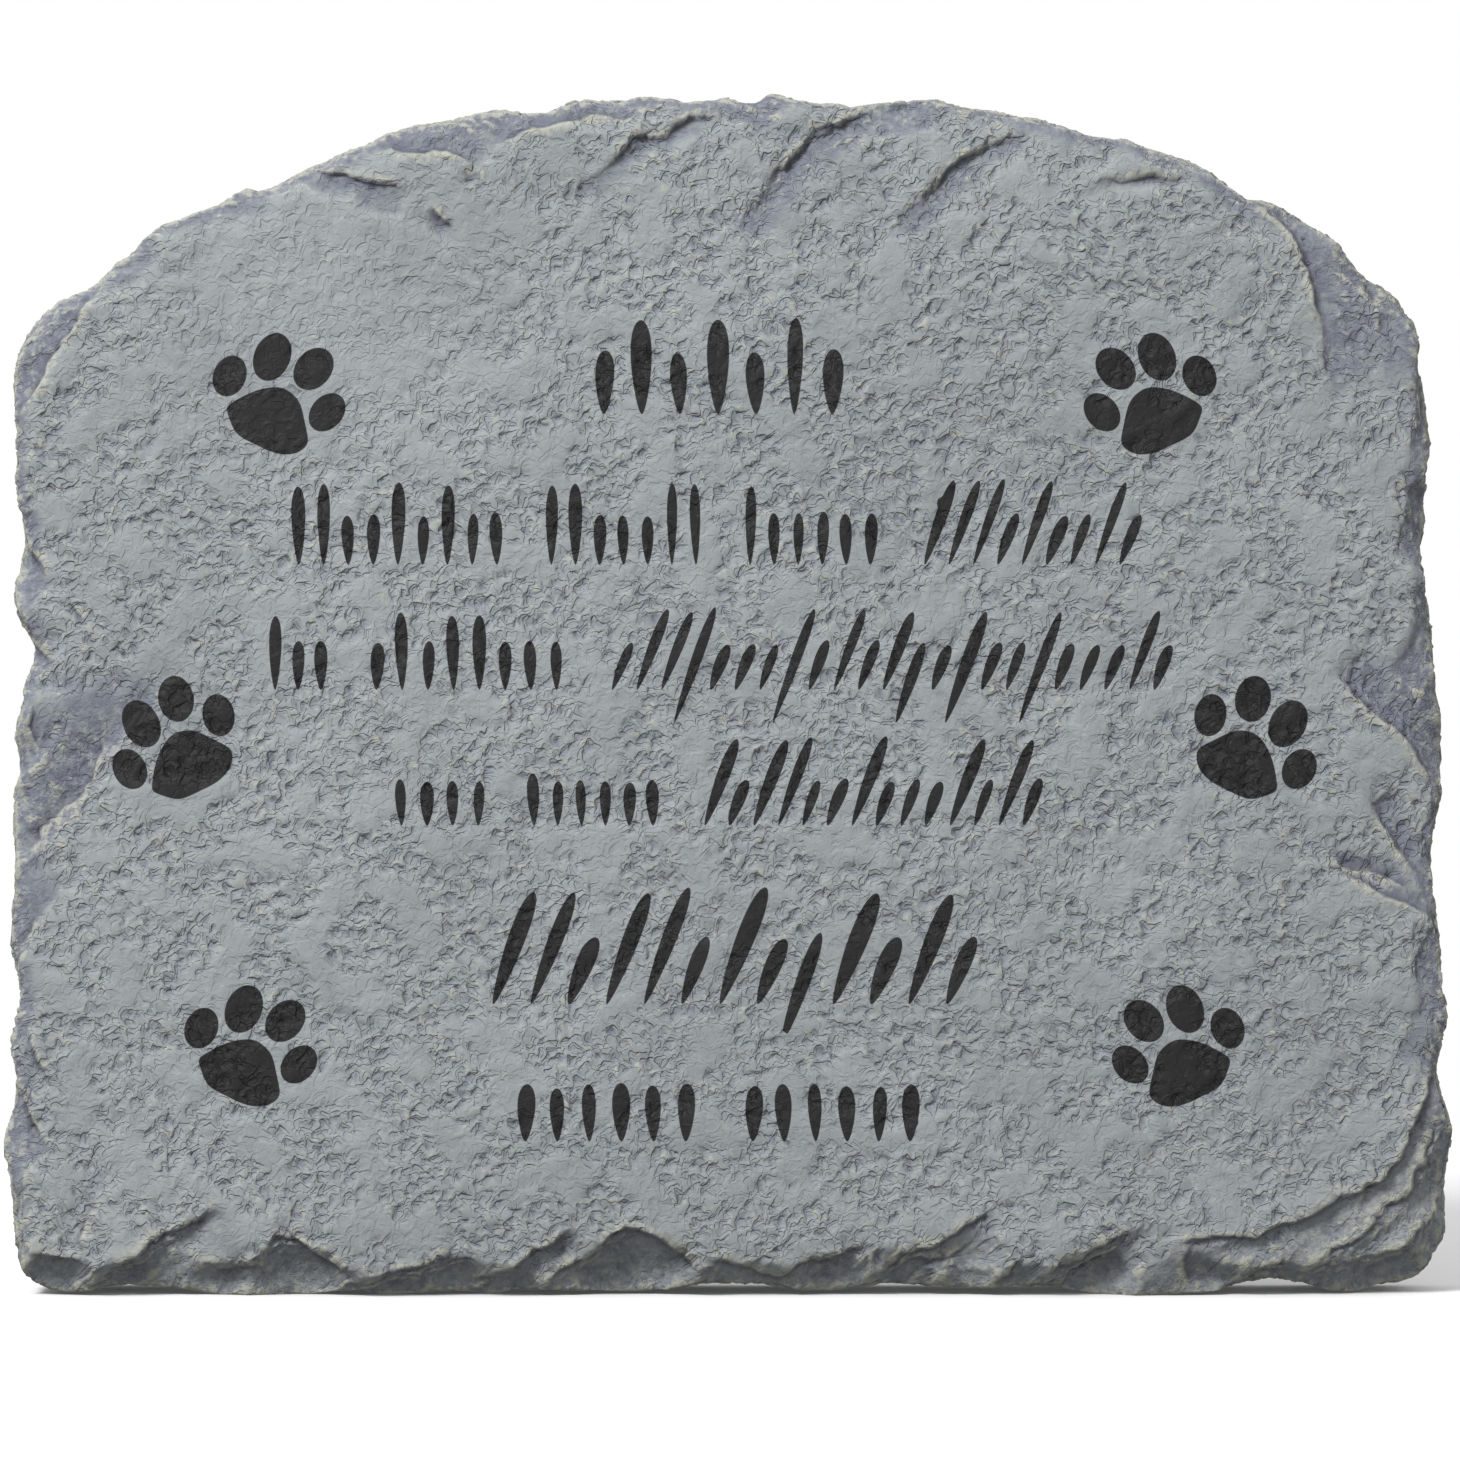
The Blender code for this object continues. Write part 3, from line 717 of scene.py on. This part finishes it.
class Nodes:
    """A node tree, with short ways to add to it."""

    def __init__(self, tree):
        self.tree = tree

    def node(self, kind, settings=None, sockets=None):
        """Adds a node, sets its settings first and then the values or links of its sockets."""
        node = self.tree.nodes.new(kind)
        for name, value in (settings or {}).items():
            setattr(node, name, value)
        for name, value in (sockets or {}).items():
            self.feed(self.socket(node.inputs, name), value)
        return node

    @staticmethod
    def socket(sockets, name):
        """Finds a socket by its identifier, or else by its name."""
        for socket in sockets:
            if socket.identifier == name:
                return socket
        return sockets[name]

    def feed(self, socket, value):
        if isinstance(value, Sum):
            self.tree.links.new(value.socket, socket)
        elif isinstance(value, bpy.types.NodeSocket):
            self.tree.links.new(value, socket)
        else:
            socket.default_value = value

    def number(self, node, output=0):
        return Sum(self.tree, node.outputs[output])

    def parts(self, vector):
        """The X, Y and Z of a vector."""
        split = self.node("ShaderNodeSeparateXYZ", sockets={"Vector": vector})
        return [self.number(split, axis) for axis in range(3)]

    def vector_number(self, operation, first, second=None):
        """The number that a Vector Math node gives, such as a length."""
        node = self.node("ShaderNodeVectorMath", {"operation": operation})
        self.feed(node.inputs[0], first)
        if second is not None:
            self.feed(node.inputs[1], second)
        return self.number(node, "Value")

    def vector_maths(self, operation, first, second):
        node = self.node("ShaderNodeVectorMath", {"operation": operation})
        self.feed(node.inputs[0], first)
        self.feed(node.inputs[1], second)
        return node.outputs[0]

    def colour_mix(self, factor, first, second):
        mix = self.node(
            "ShaderNodeMix",
            {"data_type": "RGBA", "clamp_factor": True},
            {"Factor_Float": factor, "A_Color": first, "B_Color": second},
        )
        return self.socket(mix.outputs, "Result_Color")

    def noise(self, where, size, detail=2.0, roughness=0.5):
        """Noise from 0 to 1 whose patches are about the size across, in metres."""
        texture = self.node(
            "ShaderNodeTexNoise",
            {"noise_dimensions": "3D"},
            {"Vector": where, "Scale": 1 / size, "Detail": detail, "Roughness": roughness},
        )
        return self.number(texture)

    def flat_noise(self, where, size, detail=0.0, roughness=0.5):
        """A noise node that reads only the first two coordinates."""
        return self.node(
            "ShaderNodeTexNoise",
            {"noise_dimensions": "2D"},
            {"Vector": where, "Scale": 1 / size, "Detail": detail, "Roughness": roughness},
        )

    def chance(self, seed, number):
        """A repeatable number from 0 to 1 for each whole number."""
        where = self.node("ShaderNodeCombineXYZ", sockets={"X": number, "Y": seed})
        dice = self.node("ShaderNodeTexWhiteNoise", {"noise_dimensions": "3D"}, {"Vector": where.outputs[0]})
        return self.number(dice)

    def between(self, value, low, high):
        """0 below low and 1 above high, with a smooth rise between them."""
        ramp = self.node(
            "ShaderNodeMapRange",
            {"interpolation_type": "SMOOTHSTEP", "clamp": True},
            {"Value": value, "From Min": low, "From Max": high},
        )
        return self.number(ramp)

    def attribute(self, name):
        return self.number(self.node("ShaderNodeAttribute", {"attribute_name": name}), 2)

    def uv_map(self, name):
        return self.parts(self.node("ShaderNodeUVMap", {"uv_map": name}).outputs[0])[:2]


def opaque(colour):
    return (colour[0], colour[1], colour[2], 1.0)


def new_material(name):
    material = bpy.data.materials.new(name)
    material.use_nodes = True
    return material, material.node_tree.nodes["Principled BSDF"], Nodes(material.node_tree)


def stroke_mask(nodes):
    """1 on the printed strokes: leaf-shaped strokes of uneven height, one to each space of its row."""
    across, up = nodes.uv_map("strokes")
    tall, deep = nodes.uv_map("reach")
    slot = across.floor()
    is_tall = nodes.chance(1.5, slot) > 0.62
    is_deep = nodes.chance(2.5, slot) > 0.78
    top = 0.95 + 0.12 * nodes.chance(3.5, slot) + is_tall * (tall - 1)
    foot = -1 * is_deep * deep
    along = (up - foot) / (top - foot)
    middle = 0.5 + 0.14 * (nodes.chance(4.5, slot) - 0.5) * along
    half_width = 0.20 + 0.08 * nodes.chance(5.5, slot)
    profile = (4 * along * (1 - along)).higher(0) ** 0.5 * (0.65 + 0.7 * along)
    off = abs(across - slot - middle)
    return nodes.between(half_width * profile - off, -0.01, 0.015)


def paw_mask(nodes):
    """1 on the printed paws: four oval toes round a pad with soft corners."""
    place = nodes.node("ShaderNodeUVMap", {"uv_map": "paws"}).outputs[0]
    pad = None
    for facing, distance in PAW_PAD:
        outward = (math.cos(math.radians(facing)), math.sin(math.radians(facing)), 0.0)
        edge = nodes.vector_number("DOT_PRODUCT", place, outward) - distance
        pad = edge if pad is None else pad.softly_higher(edge, 2.4)
    ink = nodes.between(pad, 0.08, -0.08)
    for toe_u, toe_v, long_half, short_half, lean in PAW_TOES:
        toe = nodes.node(
            "ShaderNodeMapping",
            {"vector_type": "TEXTURE"},
            {
                "Vector": place,
                "Location": (toe_u, toe_v, 0.0),
                "Rotation": (0.0, 0.0, math.radians(-lean)),
                "Scale": (short_half, long_half, 1.0),
            },
        )
        ink = ink.higher(nodes.between(nodes.vector_number("LENGTH", toe.outputs[0]), 1.02, 0.98))
    return ink


def pit_layer(nodes, where, lean, spacing, keep):
    """Small pits from 0 to 1 deep, each with a crisp wall on its upper side and a ramp back up below it."""
    cells = nodes.node(
        "ShaderNodeTexVoronoi",
        {"voronoi_dimensions": "2D", "feature": "F1"},
        {"Vector": where, "Scale": 1 / spacing, "Randomness": 0.9},
    )
    off = nodes.vector_maths("SUBTRACT", where, cells.outputs["Position"])
    turn, size, chance = nodes.parts(cells.outputs["Color"])
    turned = nodes.node(
        "ShaderNodeVectorRotate",
        {"rotation_type": "Z_AXIS", "invert": True},
        {"Vector": off, "Angle": lean + 1.5 * turn},
    )
    size = nodes.node("ShaderNodeCombineXYZ", sockets={"X": size * 0.36 + 0.42, "Y": size * 0.26 + 0.30})
    local = nodes.vector_maths("DIVIDE", turned.outputs[0], size.outputs[0])
    reach = nodes.vector_number("LENGTH", local) / spacing
    _, upward, _ = nodes.parts(local)
    wall = nodes.between(reach, 1.0, 0.70)
    ramp = nodes.between(upward, -1.9 * spacing, 1.0 * spacing)
    return wall * ramp * nodes.between(chance, 1 - keep, 1 - 0.8 * keep)


def face_pits(nodes, where):
    """The hammered pits of the face, one layer for each of PIT_LAYERS, each from 0 to 1 deep."""
    x, y, z = nodes.parts(where)
    flat = nodes.node("ShaderNodeCombineXYZ", sockets={"X": x + 0.6 * y, "Y": z + 0.6 * y}).outputs[0]
    wobble = nodes.flat_noise(flat, PIT_WOBBLE, 1.0, 0.6).outputs["Color"]
    shift = nodes.vector_maths("SUBTRACT", wobble, (0.5, 0.5, 0.5))
    shift = nodes.vector_maths("MULTIPLY", shift, (PIT_WOBBLE, PIT_WOBBLE, 0.0))
    warped = nodes.vector_maths("ADD", flat, shift)
    lean = 2.6 * nodes.number(nodes.flat_noise(flat, 0.018)) - 1.7
    rough = nodes.between(nodes.number(nodes.flat_noise(flat, 0.010)), 0.30, 0.50)
    from_calm = nodes.vector_number("DISTANCE", flat, CALM_PLACE)
    rough = rough * (0.25 + 0.75 * nodes.between(from_calm, *CALM_REACH))
    return [
        pit_layer(nodes, warped, lean, spacing, keep) * (calm + (1 - calm) * rough)
        for spacing, keep, calm in PIT_LAYERS
    ]


def store_pits(piece):
    """Stores at each point the depth of its pits in millimetres, from the nodes that the finish uses too."""
    tree = bpy.data.node_groups.new("pits", "GeometryNodeTree")
    tree.interface.new_socket("Stone", in_out="INPUT", socket_type="NodeSocketGeometry")
    tree.interface.new_socket("Stone", in_out="OUTPUT", socket_type="NodeSocketGeometry")
    nodes = Nodes(tree)
    pits = face_pits(nodes, nodes.node("GeometryNodeInputPosition").outputs[0])
    store = nodes.node(
        "GeometryNodeStoreNamedAttribute",
        {"data_type": "FLOAT", "domain": "POINT"},
        {
            "Geometry": nodes.node("NodeGroupInput").outputs[0],
            "Name": "pit",
            "Value": sum(depth * pit for depth, pit in zip(MESH_DEPTHS, pits)),
        },
    )
    tree.links.new(store.outputs[0], nodes.node("NodeGroupOutput").inputs[0])
    piece.modifiers.new("pits", "NODES").node_group = tree
    apply_modifier(piece, "pits")


def stone_material(settings):
    """Matt cast stone: mottled grey, rubbed beige with painted highlights on its ridges, a violet wash with
    painted shade in its clefts and pits, and painted shade in the creases of its splits.
    """
    material, shader, nodes = new_material("cast_stone")
    where = nodes.node("ShaderNodeTexCoord").outputs["Object"]
    pits = face_pits(nodes, where)
    grit = nodes.noise(where, 0.0007, 2.0, 0.7)

    patches = nodes.between(nodes.noise(where, 0.045, 2.0, 0.6), 0.40, 0.62)
    mottle = nodes.between(nodes.noise(where, 0.005, 3.0, 0.65), 0.35, 0.70)
    face, pale_face = opaque(settings.face_colour), opaque(settings.pale_colour)
    colour = nodes.colour_mix(patches * 0.5 + mottle * 0.4, face, pale_face)
    # Painted shade as well as wash: the pits of the hammered face are darkened by their depth.
    pit_wash_and_shade = nodes.attribute("pit") * 0.55
    colour = nodes.colour_mix(pit_wash_and_shade, colour, opaque(settings.wash_and_shade_colour))
    blotch = nodes.between(nodes.noise(where, 0.0035, 2.0, 0.65), 0.30, 0.62)
    # Violet wash and painted shade in the hollows, broken into blotches.
    blotchy_wash_and_shade = nodes.attribute("wash_and_shade") * (0.48 + 0.52 * blotch)
    colour = nodes.colour_mix(blotchy_wash_and_shade, colour, opaque(settings.wash_and_shade_colour))
    speckle = nodes.noise(where, 0.0016, 2.0, 0.7)
    # Rubbed beige and painted highlight on the ridges, broken up by speckle.
    rubbed_and_highlit = nodes.between(nodes.attribute("rubbed_and_highlight") + 2.2 * speckle, 1.25, 2.0)
    edge = nodes.attribute("edge")
    plain = nodes.between(nodes.parts(where)[1], BACK_Y - 3 * MM, BACK_Y - MM)
    crumbled = edge * (1 - plain)
    # Pale and dark specks on the broken edge: speckled tone that also paints highlights and shade onto its
    # grain.
    pale_specks_and_grain_highlights = nodes.between(speckle, 0.51, 0.66) * crumbled
    dark_specks_and_grain_shade = nodes.between(speckle, 0.49, 0.36) * crumbled
    pale = (rubbed_and_highlit * 0.85).higher(pale_specks_and_grain_highlights * 0.42)
    colour = nodes.colour_mix(pale, colour, opaque(settings.rubbed_and_highlight_colour))
    colour = nodes.colour_mix(dark_specks_and_grain_shade * 0.22, colour, opaque(settings.dark_speck_and_crease_shade_colour))
    # Painted shade in the creases along the splits.
    colour = nodes.colour_mix(nodes.attribute("crease_shade") * 0.62, colour, opaque(settings.dark_speck_and_crease_shade_colour))
    ink = stroke_mask(nodes).higher(paw_mask(nodes))
    colour = nodes.colour_mix(ink, colour, opaque(settings.ink_colour))
    nodes.feed(shader.inputs["Base Color"], colour)
    nodes.feed(shader.inputs["Roughness"], (0.72 + 0.16 * grit) - ink * 0.20)
    shader.inputs["Specular IOR Level"].default_value = 0.2
    pitting = sum(depth * pit for depth, pit in zip(FINISH_DEPTHS, pits))
    pitting = pitting * (1 - 0.85 * plain) * (1 - (1 - PITS_LEFT_AT_EDGE) * edge)
    height = grit * (0.05 + 0.24 * edge) - pitting
    bump = nodes.node("ShaderNodeBump", sockets={"Strength": 1.0, "Distance": MM, "Height": height})
    nodes.feed(shader.inputs["Normal"], bump.outputs[0])
    return material


class STONE_OT_casting(bpy.types.Operator):
    """Models the fine surface of the casting on the frame's solid and gives it its finish"""

    bl_idname = "stone.casting"
    bl_label = "Cast Stone"

    def execute(self, context):
        settings = context.scene.memorial_stone
        piece = copy_of_node(CAD_NODE, "cast_memorial_stone")
        net = piece.modifiers.new("fine_net", "REMESH")
        net.mode = "VOXEL"
        net.voxel_size = settings.net
        apply_modifier(piece, net.name)
        store_pits(piece)
        carve_fine_relief(piece, settings.hammering)
        fewer = piece.modifiers.new("fewer_faces", "DECIMATE")
        fewer.ratio = settings.triangles / (2 * len(piece.data.polygons))
        apply_modifier(piece, fewer.name)
        select_only(piece)
        bpy.ops.object.shade_smooth()
        map_print(piece.data)
        piece.data.materials.clear()
        piece.data.materials.append(stone_material(settings))
        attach(piece, "root")
        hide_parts(CAD_NODE)
        return {"FINISHED"}


class STONE_OT_stage(bpy.types.Operator):
    """Adds the pale floor, the soft light and the camera that looks straight at the face"""

    bl_idname = "stone.stage"
    bl_label = "Studio Stage"

    def execute(self, context):
        settings = context.scene.memorial_stage
        add_floor(settings)
        add_world(settings)
        add_key_light(settings)
        add_camera(settings)
        return {"FINISHED"}


def add_floor(settings):
    """A floor that the camera sees and the light falls on, and that throws no light up at the stone."""
    deselect_all()
    depth, behind = 4.0, 0.5
    bpy.ops.mesh.primitive_plane_add(size=depth, location=(0, behind - depth / 2, 0))
    floor = bpy.context.object
    floor.name = "studio_floor"
    material, shader, _ = new_material("studio_floor")
    shader.inputs["Base Color"].default_value = opaque(settings.floor_colour)
    shader.inputs["Roughness"].default_value = 0.9
    shader.inputs["Specular IOR Level"].default_value = 0.1
    floor.data.materials.append(material)
    floor.visible_diffuse = False


def add_world(settings):
    """An even light that is weaker from below, behind a white backdrop."""
    world = bpy.data.worlds.new("studio")
    world.use_nodes = True
    world.cycles.sampling_method = "NONE"
    bpy.context.scene.world = world
    nodes = Nodes(world.node_tree)
    background = world.node_tree.nodes["Background"]
    background.inputs["Color"].default_value = (1.0, 1.0, 1.0, 1.0)
    _, _, up = nodes.parts(nodes.node("ShaderNodeTexCoord").outputs["Generated"])
    light = settings.fill * (LIGHT_FROM_BELOW + (1 - LIGHT_FROM_BELOW) * nodes.between(up, -0.5, 0.5))
    seen = nodes.number(nodes.node("ShaderNodeLightPath"), "Is Camera Ray")
    nodes.feed(background.inputs["Strength"], light.higher(seen))


def add_key_light(settings):
    target = Vector((0, FRONT_Y, NODE_HIGH[2] / 2))
    toward_light = Vector(KEY_DIRECTION).normalized()
    deselect_all()
    bpy.ops.object.light_add(type="AREA", location=target + KEY_DISTANCE * toward_light)
    key = bpy.context.object
    key.name = "key_light"
    key.data.shape = "SQUARE"
    key.data.size = settings.key_size
    key.data.energy = settings.key_power
    key.rotation_euler = toward_light.to_track_quat("Z", "Y").to_euler()


def add_camera(settings):
    camera_data = bpy.data.cameras.new("camera")
    camera_data.lens = settings.lens
    distance = settings.frame_width * settings.lens / camera_data.sensor_width
    camera = bpy.data.objects.new("camera", camera_data)
    bpy.context.scene.collection.objects.link(camera)
    camera.location = (CAMERA_X, FRONT_Y - distance, CAMERA_Z)
    camera.rotation_euler = (math.radians(90), 0, 0)
    bpy.context.scene.camera = camera


class STONE_PT_panel(bpy.types.Panel):
    """Lists the steps and their settings"""

    bl_label = "Memorial Stone"
    bl_space_type = "VIEW_3D"
    bl_region_type = "UI"
    bl_category = "Memorial"

    def draw(self, context):
        for operator, settings in (
            ("stone.casting", context.scene.memorial_stone),
            ("stone.stage", context.scene.memorial_stage),
        ):
            self.layout.operator(operator)
            for name in settings.__annotations__:
                self.layout.prop(settings, name)


CLASSES = (StoneSettings, StageSettings, STONE_OT_casting, STONE_OT_stage, STONE_PT_panel)


def register():
    for item in CLASSES:
        bpy.utils.register_class(item)
    bpy.types.Scene.memorial_stone = bpy.props.PointerProperty(type=StoneSettings)
    bpy.types.Scene.memorial_stage = bpy.props.PointerProperty(type=StageSettings)


def unregister():
    del bpy.types.Scene.memorial_stage
    del bpy.types.Scene.memorial_stone
    for item in reversed(CLASSES):
        bpy.utils.unregister_class(item)


def main():
    register()
    bpy.context.scene.view_settings.view_transform = "Standard"
    bpy.ops.stone.casting()
    bpy.ops.stone.stage()


if __name__ == "__main__":
    main()
